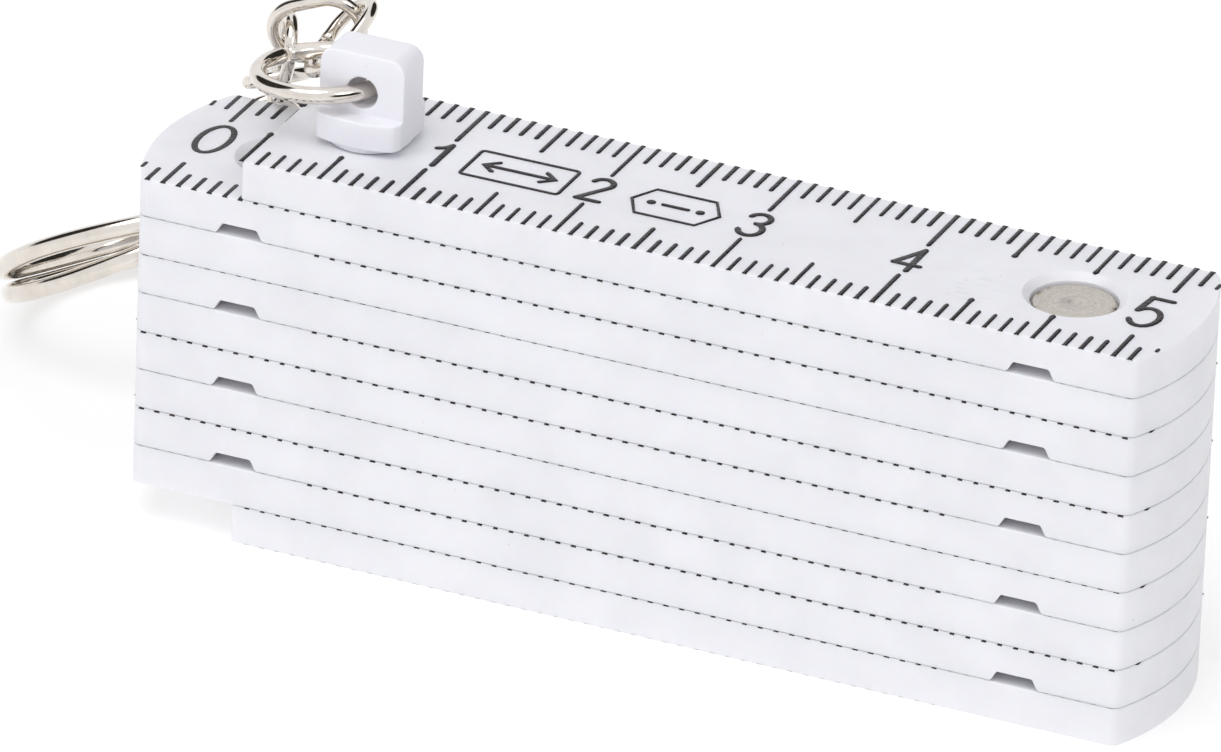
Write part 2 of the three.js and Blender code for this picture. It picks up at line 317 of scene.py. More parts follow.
def ink_material():
    """Slightly glossy black marks whose colour thins out in places and catches light on its ridges."""
    recipe = Recipe("marks_black", (0.012, 0.012, 0.013), 0.3)
    worn = recipe.spread(recipe.noise(4.5, 3, 0.6), 0.58, 0.75)
    share = recipe.maths("MULTIPLY", worn, 0.35)
    recipe.set("Base Color", recipe.mix(share, (0.012, 0.008, 0.01, 1), (0.16, 0.14, 0.15, 1)))
    recipe.set("Roughness", recipe.spread(recipe.noise(3.0, 3), 0.3, 0.7, 0.15, 0.45))
    recipe.set("Specular IOR Level", 0.3)
    recipe.bump(recipe.noise(5.0, 2), 0.9, 0.05)
    return recipe.material


def rivet_material():
    """Pale steel with wandering rings about the rivet's own axis, a rough grain and some rust at its edge."""
    recipe = Recipe("rivet_steel", (0.56, 0.54, 0.5), 0.4, 1.0)
    flat = recipe.node("ShaderNodeMapping", {"Vector": recipe.place, "Scale": (1, 1, 0)})
    radius = recipe.node("ShaderNodeVectorMath", {0: flat.outputs[0]}, operation="LENGTH").outputs["Value"]
    blotch = recipe.noise(0.9, 4, 0.65)
    wander = recipe.maths("MULTIPLY", blotch, 1.1 * MM)
    values = {"W": recipe.maths("ADD", radius, wander), "Scale": 4.0 / MM, "Detail": 5.0, "Roughness": 0.65}
    rings = recipe.node("ShaderNodeTexNoise", values, noise_dimensions="1D").outputs[0]
    speckle = recipe.noise(5.0, 4, 0.7)
    grain = recipe.maths("ADD", recipe.maths("MULTIPLY", rings, 0.5), recipe.maths("MULTIPLY", speckle, 0.5))
    tone = recipe.spread(grain, 0.38, 0.62)
    colour = recipe.mix(tone, (0.52, 0.48, 0.43, 1), (0.76, 0.71, 0.65, 1))
    outside = recipe.spread(radius, 0.84 * HEAD_RADIUS * MM, 0.97 * HEAD_RADIUS * MM)
    rust = recipe.maths("MULTIPLY", outside, recipe.spread(recipe.noise(1.6, 3), 0.55, 0.68))
    recipe.set("Base Color", recipe.mix(rust, colour, (0.22, 0.14, 0.09, 1)))
    recipe.set("Roughness", recipe.spread(grain, 0.35, 0.65, 0.36, 0.52))
    recipe.bump(grain, 0.5, 0.02)
    return recipe.material


def nickel_material():
    """Bright warm nickel plate with fine handling scratches and duller patches."""
    recipe = Recipe("nickel", (0.78, 0.72, 0.63), 0.12, 1.0)
    patch = recipe.spread(recipe.noise(0.5, 4), 0.4, 0.7)
    recipe.set("Base Color", recipe.mix(patch, (0.8, 0.75, 0.685, 1), (0.68, 0.63, 0.57, 1)))
    scratch = recipe.spread(recipe.noise(6.0, 4, 0.7, (1, 0.25, 1)), 0.45, 0.75, 0.08, 0.26)
    recipe.set("Roughness", scratch)
    recipe.bump(recipe.noise(1.2, 3), 0.12, 0.03)
    return recipe.material


# ---------------------------------------------------------------- segments

def segment_name(number):
    return f"segment_{number:02d}"


ZERO_X = middle_x("rivet_02")
FAR_X = middle_x("rivet_01")
EYELET_X = middle_x("eyelet")
TOP = node_box("segment_01")[1].z


def hinge_x(upper):
    return FAR_X if upper % 2 else ZERO_X


def segment_low(number):
    return node_box(segment_name(number))[0].z


def underside(number):
    return segment_low(number) - (0 if number == SEGMENTS else SKIRT)


def rounded_end(side, inset):
    """From the lower long side round to the upper one, or back again on the zero side."""
    half = WIDTH / 2
    run = math.sqrt((END_RADIUS - CORNER) ** 2 - (half - CORNER) ** 2)
    middle = OVERHANG - END_RADIUS
    tip = math.degrees(math.atan2(half - CORNER, run))
    small = CORNER - inset
    large = END_RADIUS - inset
    points = arc(middle + run, -(half - CORNER), small, small, -90, -tip, 5)[:-1]
    points += arc(middle, 0, large, large, -tip, tip, 26)
    points += arc(middle + run, half - CORNER, small, small, tip, 90, 5)[1:]
    if side > 0:
        return [(FAR_X + x, y) for x, y in points]
    return [(ZERO_X - x, -y) for x, y in points]


def square_end(inset):
    small = CUT_CORNER - inset
    x = ZERO_X + CUT_CORNER
    y = WIDTH / 2 - CUT_CORNER
    return arc(x, y, small, small, 90, 180, 4) + arc(x, -y, small, small, 180, 270, 4)


def segment_blank(number):
    """The plain segment with softly rounded edges all round."""
    low = segment_low(number)
    square = number in (1, SEGMENTS)
    skirt = low - underside(number)
    levels = []
    for step in range(EDGE_STEPS + 1):
        turn = math.pi / 2 * step / EDGE_STEPS
        levels.append((EDGE * (1 - math.sin(turn)), EDGE * (1 - math.cos(turn))))
    tops = [(inset, THICKNESS - z) for inset, z in reversed(levels)]
    levels = [(inset, z - skirt) for inset, z in levels] + tops
    loops = []
    for inset, z in levels:
        outline = rounded_end(1, inset) + (square_end(inset) if square else rounded_end(-1, inset))
        loops.append([(x, y, low + z) for x, y in outline])
    return loft(segment_name(number), loops)


def head_recess(x, face, out):
    """Seat of a rivet head with a sloping rim, cut into the face at that height; out is +1 or -1."""
    floor = HEAD_DEPTH + HEAD_THICKNESS + CLEARANCE
    profile = [(SEAT_RADIUS, -floor), (SEAT_RADIUS, -RIM_DEPTH), (RIM_RADIUS, 0.0), (RIM_RADIUS, CUT_PAST)]
    return turned([(radius, face + out * z) for radius, z in profile], 96, x)


def through_hole(x, low):
    radius = RIVET_RADIUS + CLEARANCE
    return turned([(radius, low - CUT_PAST), (radius, low + THICKNESS + CUT_PAST)], 48, x)


def groove(x, low):
    """Detent groove across the underside, with a softened top and flared feet."""
    foot = NOTCH_BASE / 2 + NOTCH_FLARE
    half_top = NOTCH_TOP / 2
    side = [(foot, -CUT_PAST), (foot, 0.0), (foot - 0.1, NOTCH_SOFT)]
    side += [(half_top + 0.03, NOTCH_DEPTH - NOTCH_SOFT), (half_top - NOTCH_SOFT, NOTCH_DEPTH)]
    outline = side + [(-px, pz) for px, pz in reversed(side)]
    reach = WIDTH / 2 + CUT_PAST
    return loft("groove", [[(x + px, y, low + pz) for px, pz in outline] for y in (-reach, reach)])


def eyelet_bore(low):
    """Hole for the eyelet's pivot, flared at the top, and the recess under it for the pivot's foot."""
    high = low + THICKNESS
    mouth = EYELET_HOLE + EYELET_HOLE_LIP
    profile = [(FOOT_SEAT_RADIUS, low - CUT_PAST), (FOOT_SEAT_RADIUS, low + FOOT_SEAT_DEPTH)]
    profile += [(EYELET_HOLE, low + FOOT_SEAT_DEPTH), (EYELET_HOLE, high - EYELET_HOLE_LIP)]
    profile += [(mouth, high), (mouth, high + CUT_PAST)]
    return turned(profile, 64, EYELET_X)


def gate_mark(low):
    """The small round witness of the moulding gate on the far end."""
    pip = turned([(GATE_RADIUS, -GATE_LENGTH), (GATE_RADIUS, -GATE_BEVEL), (GATE_TIP_RADIUS, 0.0)], 24)
    place = Matrix.Translation((FAR_X + OVERHANG - GATE_SUNK, GATE_Y, low + THICKNESS / 2))
    pip.data.transform(place @ Matrix.Rotation(math.pi / 2, 4, "Y"))
    return pip


def build_segment(number, material):
    """One segment: recesses and a groove for the hinge below it, a recess for the hinge above it."""
    low = segment_low(number)
    tools = []
    if number < SEGMENTS:
        x = hinge_x(number)
        tools += [head_recess(x, low + THICKNESS, 1), through_hole(x, low), groove(x, low)]
    if number > 1:
        x = hinge_x(number - 1)
        tools += [head_recess(x, low, -1), through_hole(x, low)]
    if number == 1:
        tools.append(eyelet_bore(low))
    blank = combine(segment_blank(number), "UNION", [gate_mark(low)])
    piece = combine(blank, "DIFFERENCE", tools)
    return finish_piece(piece, segment_name(number), segment_name(number), material)


def build_rivet(upper, material):
    """Flat head with a rolled edge above, shank, and the set tail below."""
    top = segment_low(upper) + THICKNESS - HEAD_DEPTH
    bottom = segment_low(upper + 1) + HEAD_DEPTH
    head = [(HEAD_RADIUS, top - HEAD_THICKNESS)]
    for step in range(5):
        turn = math.pi / 2 * step / 4
        head.append((HEAD_RADIUS - HEAD_ROLL * (1 - math.cos(turn)), top - HEAD_ROLL * (1 - math.sin(turn))))
    head += [(HEAD_RADIUS - 2 * HEAD_ROLL, top - 0.16 * HEAD_DISH), (DISH_RADIUS, top - HEAD_DISH)]
    head += [(DIMPLE_RADIUS, top - HEAD_DISH), (DIMPLE_FLOOR_RADIUS, top - 2.4 * HEAD_DISH)]
    head.append((DIMPLE_POINT_RADIUS, top - 2.6 * HEAD_DISH))
    middle = top + bottom
    tail = [(radius, middle - z) for radius, z in reversed(head)]
    shank = [(RIVET_RADIUS, bottom + HEAD_THICKNESS), (RIVET_RADIUS, top - HEAD_THICKNESS)]
    rivet = turned(tail + shank + head, 96)
    name = f"rivet_{upper:02d}"
    rivet.data.transform(Matrix.Translation((hinge_x(upper), 0, 0)))
    body = segment_name(upper + 1)
    return finish_piece(rivet, name, body, material, (hinge_x(upper), 0, (top + bottom) / 2))


# ---------------------------------------------------------------- marks

# The section of a raised mark, as shares of its half width and its height.
MARK_SECTION = [(-1.0, -0.6), (-0.93, 0.5), (-0.6, 1.0), (0.6, 1.0), (0.93, 0.5), (1.0, -0.6)]


def bead_loops(stations, height):
    """Loops of a raised mark through stations of (point, sideways, outward, half width)."""
    loops = []
    for point, sideways, outward, half in stations:
        loops.append([point + sideways * (a * half) + outward * (b * height) for a, b in MARK_SECTION])
    return loops


def bead(stations, height):
    """A raised mark through the stations, as its points and faces."""
    loops = bead_loops(stations, height)
    return [point for loop in loops for point in loop], skin_faces(len(loops), len(MARK_SECTION))


def cap_shares():
    """(distance from the tip, width) of a round end, both as shares of the half width, tip first."""
    return [(1 - math.cos(math.radians(a)), math.sin(math.radians(a))) for a in (8, 35, 62, 90)]


def tick_stations(x, side, inner, half, wrap, bulb):
    """A mark from the rounded long edge to its inner end.

    It starts at the angle wrap on the rounded edge, where the ink has spread, and its inner end has
    spread to bulb times its width.
    """
    along = Vector((1, 0, 0))
    middle = WIDTH / 2 - EDGE
    stations = []
    for step in range(4):
        turn = math.radians(wrap + (90 - wrap) * step / 3)
        outward = Vector((0, side * math.cos(turn), math.sin(turn)))
        point = Vector((x, side * middle, -EDGE)) + outward * EDGE
        stations.append((point, along, outward, half * (EDGE_SPREAD if step < 2 else 1.0)))
    up = Vector((0, 0, 1))
    stations.append((Vector((x, side * (inner + 5 * half), 0)), along, up, half))
    for back, share in reversed(cap_shares()):
        stations.append((Vector((x, side * (inner + back * half * bulb), 0)), along, up, half * share * bulb))
    return stations


def path_stations(points, half, closed):
    """A mark along a flat path, with round ends unless it is closed."""
    points = [Vector((x, y, 0)) for x, y in points]
    count = len(points)
    up = Vector((0, 0, 1))
    stations = []
    for i, point in enumerate(points):
        before = points[i - 1] if closed or i else point
        after = points[(i + 1) % count] if closed or i < count - 1 else point
        stations.append((point, (after - before).normalized().cross(up), up, half))
    if closed:
        return stations
    first_way = (points[0] - points[1]).normalized()
    last_way = (points[-1] - points[-2]).normalized()
    lead = []
    tail = []
    for back, share in cap_shares()[:-1]:
        reach = half * (1 - back)
        lead.append((points[0] + first_way * reach, stations[0][1], up, half * share))
        tail.append((points[-1] + last_way * reach, stations[-1][1], up, half * share))
    return lead + stations + tail[::-1]


def soft(points, steps=5):
    """A smooth path through a few points."""
    ends = [points[0]] + points + [points[-1]]
    path = []
    for i in range(1, len(ends) - 2):
        a, b, c, d = (np.array(p, float) for p in ends[i - 1:i + 3])
        for step in range(steps):
            t = step / steps
            path.append(tuple(0.5 * (2 * b + (c - a) * t + (2 * a - 5 * b + 4 * c - d) * t ** 2
                                     + (3 * b - a - 3 * c + d) * t ** 3)))
    return path + [points[-1]]


def ring_path(cx, cy, rx, ry):
    """A closed oval."""
    return arc(cx, cy, rx, ry, 0, 360, 28)[:-1]


def half_turned(strokes):
    return [([(-x, -y) for x, y in points], closed) for points, closed in strokes]


# Strokes of each digit, as (path, closed), 2 high about the origin.
SIX = [(ring_path(0, -0.42, 0.43, 0.58), True),
       (soft([(0.36, 0.8), (0.08, 1.0), (-0.25, 0.72), (-0.41, 0.15), (-0.43, -0.42)]), False)]
DIGITS = {
    "0": [(ring_path(0, 0, 0.49, 1.02), True)],
    "1": [([(0.07, 0.97), (0.07, -1.0)], False),
          (soft([(-0.37, 0.52), (-0.12, 0.68), (0.05, 0.95)]), False)],
    "2": [(arc(0, 0.56, 0.42, 0.44, 165, -30, 14) + [(-0.44, -0.93)], False),
          ([(-0.46, -1.0), (0.46, -1.0)], False)],
    "3": [(arc(0, 0.55, 0.42, 0.45, 165, -85, 14), False),
          (arc(0, -0.45, 0.47, 0.55, 85, -160, 16), False)],
    "4": [([(0.1, 0.97), (-0.63, -0.44)], False),
          ([(-0.63, -0.46), (0.42, -0.46)], False),
          ([(0.1, 0.97), (0.1, -1.0)], False)],
    "5": [([(-0.28, 1.0), (0.38, 1.0)], False),
          ([(-0.28, 1.0), (-0.4, 0.02)], False),
          (arc(-0.02, -0.36, 0.45, 0.64, 145, -150, 16), False)],
    "6": SIX,
    "7": [([(-0.43, 1.0), (0.43, 1.0)], False),
          (soft([(0.43, 0.98), (0.12, 0.3), (-0.05, -0.35), (-0.13, -1.0)]), False)],
    "8": [(ring_path(0, 0.53, 0.35, 0.47), True), (ring_path(0, -0.47, 0.43, 0.53), True)],
    "9": half_turned(SIX),
}


def glyph(strokes, size, half):
    """One closed shape of crossing strokes, unit height, as its points and faces."""
    solids = []
    for points, closed in strokes:
        path = [(x * size, y * size) for x, y in points]
        solids.append(loft("stroke", bead_loops(path_stations(path, half, closed), 1.0), closed))
    made = combine(solids[0], "UNION", solids[1:])
    points = [vertex.co.copy() for vertex in made.data.vertices]
    faces = [tuple(polygon.vertices) for polygon in made.data.polygons]
    bpy.data.objects.remove(made)
    return points, faces


GLYPHS = {(d, size): glyph(strokes, size, DIGIT_HALF_WIDTH)
          for d, strokes in DIGITS.items() for size in (SMALL_DIGIT, LARGE_DIGIT)}


def rounded_box(cx, cy, half_x, half_y, radius):
    path = []
    for sx, sy, start in ((1, -1, -90), (1, 1, 0), (-1, 1, 90), (-1, -1, 180)):
        x = cx + sx * (half_x - radius)
        y = cy + sy * (half_y - radius)
        path += arc(x, y, radius, radius, start, start + 90, 4)
    return path


def length_sign():
    """A framed double-headed arrow, a plain stand-in for the printed box of text."""
    strokes = [([(-2.2, 0), (2.2, 0)], False)]
    for way in (-1, 1):
        strokes.append(([(way * 1.55, 0.62), (way * 2.3, 0), (way * 1.55, -0.62)], False))
    return strokes


def lozenge_sign():
    """A plain long hexagon round a bar and two dots, in place of the printed oval mark."""
    return [([(-0.75, 0), (0.75, 0)], False),
            (ring_path(-1.55, 0, 0.12, 0.12), True),
            (ring_path(1.55, 0, 0.12, 0.12), True)]


def long_hexagon(half_x, half_y, shoulder):
    return [(-half_x, 0), (-shoulder, -half_y), (shoulder, -half_y),
            (half_x, 0), (shoulder, half_y), (-shoulder, half_y)]


LENGTH_SIGN_AT = (15.05, -0.25)
LOZENGE_AT = (25.0, -0.28)
SIGNS = [
    (glyph([(rounded_box(0, 0, 3.13, 1.73, 0.25), True)], 1.0, FRAME_HALF_WIDTH), LENGTH_SIGN_AT),
    (glyph(length_sign(), 1.0, SIGN_HALF_WIDTH), LENGTH_SIGN_AT),
    (glyph([(long_hexagon(2.78, 1.72, 1.9), True)], 1.0, FRAME_HALF_WIDTH), LOZENGE_AT),
    (glyph(lozenge_sign(), 1.0, SIGN_HALF_WIDTH), LOZENGE_AT),
]


# Places of the large numerals round a hinge, and of the last two numerals of the rule.
LARGE_TENS_AT = 45.1
LARGE_ONES_AT = 54.8
TOP_FIVE_AT = 54.75
LAST_TENS_AT = 3.6
LAST_ONES_AT = 1.85


def numbers_on(number):
    """(digit, x, size) of every numeral on one segment, in the order read along it."""
    first = 5 * (number - 1)
    way = 1 if number % 2 else -1
    start = 0 if number % 2 else 50
    found = []
    for step in range(1, 5):
        text = str(first + step)
        for i, digit in enumerate(text):
            shift = (i - (len(text) - 1) / 2) * DIGIT_ADVANCE
            found.append((digit, start + way * (10 * step + shift), SMALL_DIGIT))
    if number == 1:
        found.append(("5", TOP_FIVE_AT, LARGE_DIGIT))
    elif number < SEGMENTS:
        tens, ones = f"{5 * number:02d}"
        found.append((tens, start + way * LARGE_TENS_AT, LARGE_DIGIT))
        found.append((ones, start + way * LARGE_ONES_AT, LARGE_DIGIT))
    else:
        found.append(("5", LAST_TENS_AT, SMALL_DIGIT))
        found.append(("0", LAST_ONES_AT, SMALL_DIGIT))
    return found


def tick_range(number):
    """The millimetres of the first segment's scale that a segment has marks at, over its whole length."""
    if number == 1:
        return range(0, 57)
    if number == SEGMENTS:
        return range(1, 46)
    return range(5, 57) if number % 2 else range(-6, 46)


# How far from the middle the marks end, on the front side and on the back side.
INNER_AT = {0: (2.2, 1.9), 5: (3.2, 2.8), 50: (3.2, 3.05)}
INNER_TEN = (2.3, 1.8)
INNER_FIVE = (3.35, 2.8)
INNER_ONE = (4.7, 4.3)


def tick_inner(x, back):
    """How far from the middle the mark at x ends."""
    usual = INNER_TEN if x % 10 == 0 else INNER_FIVE if x % 5 == 0 else INNER_ONE
    front_end, back_end = INNER_AT.get(x, usual)
    return back_end if back else front_end


def unevenness(x, side, salt):
    """A steady value from -1 to 1 for one mark."""
    return math.sin(12.9898 * x + 78.233 * side + 37.719 * salt)


# Angle on the rounded edge at which the marks of a face start: 0 is the side face and 90 the flat face.
WRAP_ANGLE = {1: 45, 4: 62, 7: 50, 10: 30}
WRAP_USUAL = 8
WRAP_BELOW = 70
BULBOUS = (0, 5, 45, 50)
BULB = 1.45

# How unevenly the marks are printed: their inner ends, their widths and the angle they start at.
UNEVEN_END = 0.05
UNEVEN_WIDTH = 0.1
UNEVEN_START = 4

# Marks underneath keep clear of the groove, and stop short of the rivet recess.
GROOVE_CLEAR = 2
RECESS_CLEAR = 3
RECESS_INNER = 3.35

# The short marks in the corners of a rounded end.
STUB_INNER = 4.5
STUB_OUTER = 5.05
WORN_STUB_OUTER = 4.75


def end_stubs(number, height):
    """The two cut-short marks on the rounded end that the next hinge leaves uncovered."""
    at = 57 if number % 2 else -7
    stubs = []
    for side in (-1, 1):
        outer = WORN_STUB_OUTER if number == 1 and side < 0 else STUB_OUTER
        path = [(at, side * STUB_INNER), (at, side * outer)]
        stubs.append(bead(path_stations(path, STUB_HALF_WIDTH, False), height / 2))
    return stubs


def marks_of(number, below):
    """Every mark on one face, as parts of points and faces in face coordinates."""
    height = TOP_MARK_HEIGHT if number == 1 and not below else MARK_HEIGHT
    recess_at = hinge_x(number - 1) - ZERO_X if number > 1 else None
    parts = []
    grooved = below and number < SEGMENTS
    groove_at = hinge_x(number) - ZERO_X
    wrap = WRAP_BELOW if below else WRAP_ANGLE.get(number, WRAP_USUAL)
    for x in tick_range(number):
        if grooved and abs(x - groove_at) < GROOVE_CLEAR:
            continue
        for side in (-1, 1):
            inner = tick_inner(x, side > 0) + UNEVEN_END * unevenness(x, side, number)
            if below and recess_at is not None and abs(x - recess_at) < RECESS_CLEAR:
                inner = max(inner, RECESS_INNER)
            half = MARK_HALF_WIDTH * (1 + UNEVEN_WIDTH * unevenness(x, side, number + 3))
            bulb = BULB if x in BULBOUS else 1.0
            start = wrap + UNEVEN_START * unevenness(x, side, number + 5)
            parts.append(bead(tick_stations(x, side, inner, half, start, bulb), height))
    if number < SEGMENTS and not below:
        parts += end_stubs(number, height)
    way = 1 if number % 2 else -1
    placed = [(GLYPHS[digit, size], x, DIGIT_MIDDLE * way) for digit, x, size in numbers_on(number)]
    if number == 1 and not below:
        placed += [(sign, x, y) for sign, (x, y) in SIGNS]
    for (points, faces), x, y in placed:
        at = Vector((x, y, 0))
        parts.append(([at + Vector((way * p.x, way * p.y, height * p.z)) for p in points], faces))
    return parts


def build_marks(number, material):
    """The marks on both faces of one segment, as one piece."""
    top_face = segment_low(number) + THICKNESS
    low_face = underside(number)
    points = []
    faces = []
    for below in (False, True):
        for part_points, part_faces in marks_of(number, below):
            shift = len(points)
            if below:
                points += [(ZERO_X + p.x, -p.y, low_face - p.z) for p in part_points]
            else:
                points += [(ZERO_X + p.x, p.y, top_face + p.z) for p in part_points]
            faces += [tuple(shift + i for i in face) for face in part_faces]
    marks = face_outward(mesh_object("marks", points, faces))
    name = segment_name(number)
    return finish_piece(marks, name + "_marks", name, material, sharp=50, replaces=False)


# ---------------------------------------------------------------- eyelet

EYELET_WIDTH = 5.4
EYELET_DEPTH = 2.8
EYELET_HEIGHT = 5.9
EYELET_CORNER = 0.9
FLANGE_LOW = 0.42
FLANGE_HIGH = 2.1
FLANGE_REACH = 2.65
FLANGE_SIDE_REACH = 2.15
FLANGE_CORNER_WIDTH = 0.35
FLANGE_CORNER_CUT = 0.45
COLLAR_RADIUS = 2.5
COLLAR_LOW = 0.06
PIVOT_RADIUS = 1.5
FOOT_RADIUS = 2.3
FOOT_LOW = 0.15 - THICKNESS
FOOT_HIGH = FOOT_LOW + 0.5
EYE_RADIUS = 1.0
EYE_HEIGHT = 3.44
EYELET_VOXEL = 0.055
EYELET_SOFTENING = 6


def eyelet_block():
    """An upright slab with rounded top corners, seen from the front."""
    half = EYELET_WIDTH / 2
    inner = half - EYELET_CORNER
    high = EYELET_HEIGHT - EYELET_CORNER
    low = FLANGE_LOW + 0.3
    outline = [(-half, low), (half, low)]
    outline += arc(inner, high, EYELET_CORNER, EYELET_CORNER, 0, 90, 12)
    outline += arc(-inner, high, EYELET_CORNER, EYELET_CORNER, 90, 180, 12)
    reach = EYELET_DEPTH / 2
    return loft("block", [[(x, y, z) for x, z in outline] for y in (reach, -reach)])


def eyelet_flange():
    """The bowed shelf at the foot of the block, seen from above."""
    half = EYELET_WIDTH / 2
    steps = 24
    bow = FLANGE_REACH - FLANGE_SIDE_REACH
    front = []
    for i in range(steps + 1):
        x = -half + EYELET_WIDTH * i / steps
        into_corner = max(0.0, abs(x) - half + FLANGE_CORNER_WIDTH) / FLANGE_CORNER_WIDTH
        corner = FLANGE_CORNER_CUT * into_corner ** 2
        front.append((x, -FLANGE_SIDE_REACH - bow * (1 - (x / half) ** 2) + corner))
    outline = front + [(-x, -y) for x, y in front]
    return loft("flange", [[(x, y, z) for x, y in outline] for z in (FLANGE_LOW, FLANGE_HIGH)])


def build_eyelet(material):
    """Block, shelf, collar, pivot and foot in one, with the softened edges of a moulding."""
    profile = [(FOOT_RADIUS, FOOT_LOW), (FOOT_RADIUS, FOOT_HIGH), (PIVOT_RADIUS, FOOT_HIGH)]
    profile += [(PIVOT_RADIUS, COLLAR_LOW), (COLLAR_RADIUS, COLLAR_LOW), (COLLAR_RADIUS, FLANGE_LOW - 0.1)]
    pivot = turned(profile + [(COLLAR_RADIUS - 0.5, FLANGE_LOW + 0.4)])
    eye = turned([(EYE_RADIUS, -EYELET_DEPTH), (EYE_RADIUS, EYELET_DEPTH)], 64)
    eye.data.transform(Matrix.Translation((0, 0, EYE_HEIGHT)) @ Matrix.Rotation(math.pi / 2, 4, "X"))
    piece = combine(eyelet_block(), "UNION", [eyelet_flange(), pivot])
    combine(piece, "DIFFERENCE", [eye])
    remesh = piece.modifiers.new("remesh", "REMESH")
    remesh.mode = "VOXEL"
    remesh.voxel_size = EYELET_VOXEL
    soften = piece.modifiers.new("soften", "SMOOTH")
    soften.factor = 0.5
    soften.iterations = EYELET_SOFTENING
    bake(piece)
    piece.data.transform(Matrix.Translation((EYELET_X, 0, TOP)))
    return finish_piece(piece, "eyelet", "eyelet", material, (EYELET_X, 0, TOP), sharp=75)


# ---------------------------------------------------------------- rings and chain

JUMP_WIRE = 1.04
JUMP_RADIUS = 3.85
JUMP_GAP = 4
JUMP_GAP_PLACE = 150
LINK_WIRE = 0.8
LINK_LENGTH = 6.2
LINK_WIDTH = 4.4
LINK_SEAM = 0.03
KEY_RING_RADIUS = 10.0
KEY_WIRE_AXIAL = 1.15
KEY_WIRE_RADIAL = 1.3
KEY_WIRE_CORNER = 0.5
KEY_COIL_STEP = 1.2
KEY_COIL_GAPE = 1.1
GAPE_START = 180
GAPE_END = 322  # the last link of the chain sits beyond this
KEY_CROSSING = 24
CUT_END_SHARE = 0.86


def place_of(name, along_world_x):
    """Where a flat ring or link lies: a matrix from its own X, Y and normal to the row frame."""
    points = np.array([vertex.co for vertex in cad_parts[name].data.vertices]) / MM
    middle = points.mean(0)
    axes = np.linalg.eigh(np.cov((points - middle).T))[1]
    normal = Vector(axes[:, 0])
    if normal.z < 0:
        normal = -normal
    along = Vector((1, 0, 0)) if along_world_x else Vector(axes[:, 2])
    along = (along - along.dot(normal) * normal).normalized()
    turn = Matrix((along, normal.cross(along), normal)).transposed()
    own = (points - middle) @ np.array(turn)
    centre = Vector(middle) + turn @ Vector((own.max(0) + own.min(0)) / 2)
    return Matrix.Translation(centre) @ turn.to_4x4()


def round_section(radius, sides=20):
    return [(x, y) for x, y in arc(0, 0, radius, radius, 0, 360, sides)[:-1]]


def circle_path(radius, start, end, steps, rise=lambda degrees: 0.0):
    """Pairs of (point, outward) round a circle; rise gives the height at an angle in degrees."""
    path = []
    for i in range(steps + 1):
        degrees = start + (end - start) * i / steps
        outward = Vector((math.cos(math.radians(degrees)), math.sin(math.radians(degrees)), 0))
        path.append((outward * radius + Vector((0, 0, rise(degrees))), outward))
    return path


def wire(path, section, place, name):
    """A wire along a path of (point, outward) pairs, with its two cut ends slightly smaller."""
    up = Vector((0, 0, 1))
    last = len(path) - 1
    loops = []
    for row, (point, outward) in enumerate(path):
        share = CUT_END_SHARE if row in (0, last) else 1.0
        loops.append([place @ (point + outward * (a * share) + up * (b * share)) for a, b in section])
    return loft(name, loops)


def build_jump_ring(material):
    start = JUMP_GAP_PLACE + JUMP_GAP / 2
    path = circle_path(JUMP_RADIUS, start, start + 360 - JUMP_GAP, 150)
    place = place_of("jump_ring", True)
    ring = wire(path, round_section(JUMP_WIRE / 2, 24), place, "jump_ring")
    return finish_piece(ring, "jump_ring", "jump_ring", material, place.translation, sharp=50)


def link_path():
    """An oval that starts and ends at the seam in the middle of one long side."""
    radius = (LINK_WIDTH - LINK_WIRE) / 2
    drawn = (LINK_LENGTH - LINK_WIDTH) / 2
    front = Vector((0, -1, 0))
    half_seam = [LINK_SEAM / 2, 0.08, 0.35, 0.7]
    path = [(Vector((x, -radius, 0)), front) for x in half_seam]
    for point, outward in circle_path(radius, -90, 90, 24):
        path.append((point + Vector((drawn, 0, 0)), outward))
    path += [(Vector((x, radius, 0)), -front) for x in (0.45, -0.45)]
    for point, outward in circle_path(radius, 90, 270, 24):
        path.append((point - Vector((drawn, 0, 0)), outward))
    return path + [(Vector((-x, -radius, 0)), front) for x in reversed(half_seam)]


def build_link(number, material):
    name = f"chain_link_{number}"
    place = place_of(name, False)
    link = wire(link_path(), round_section(LINK_WIRE / 2, 20), place, name)
    return finish_piece(link, name, name, material, place.translation, sharp=50)


def coil_height(degrees):
    """Height of the key ring's wire: it climbs a coil at the crossing, and the coils gape in front."""
    t = min(1.0, max(0.0, (degrees - 360 + KEY_CROSSING / 2) / KEY_CROSSING))
    into_gape = (degrees % 360 - GAPE_START) / (GAPE_END - GAPE_START)
    gape = KEY_COIL_GAPE * math.sin(math.pi * min(1.0, max(0.0, into_gape))) ** 2
    return (KEY_COIL_STEP + gape) * (t * t * (3 - 2 * t) - 0.5)


def build_key_ring(material):
    """Two coils of flattened wire; both wire ends stop short of the crossing."""
    end = KEY_CROSSING * 0.75
    middle = KEY_RING_RADIUS - KEY_WIRE_RADIAL / 2
    path = circle_path(middle, end, 720 - end, 320, coil_height)
    section = rounded_box(0, 0, KEY_WIRE_RADIAL / 2, KEY_WIRE_AXIAL / 2, KEY_WIRE_CORNER)
    place = place_of("key_ring", True)
    ring = wire(path, section, place, "key_ring")
    return finish_piece(ring, "key_ring", "key_ring", material, place.translation, sharp=50)


# ---------------------------------------------------------------- stage

FLOOR_SIZE = 6.0
FLOOR_COLOUR = (0.5, 0.5, 0.5)
FLOOR_GLOW = 0.55
ROOM = (0.97, 0.975, 1.0, 1)
SCREEN = (0.03, 0.028, 0.025, 1)
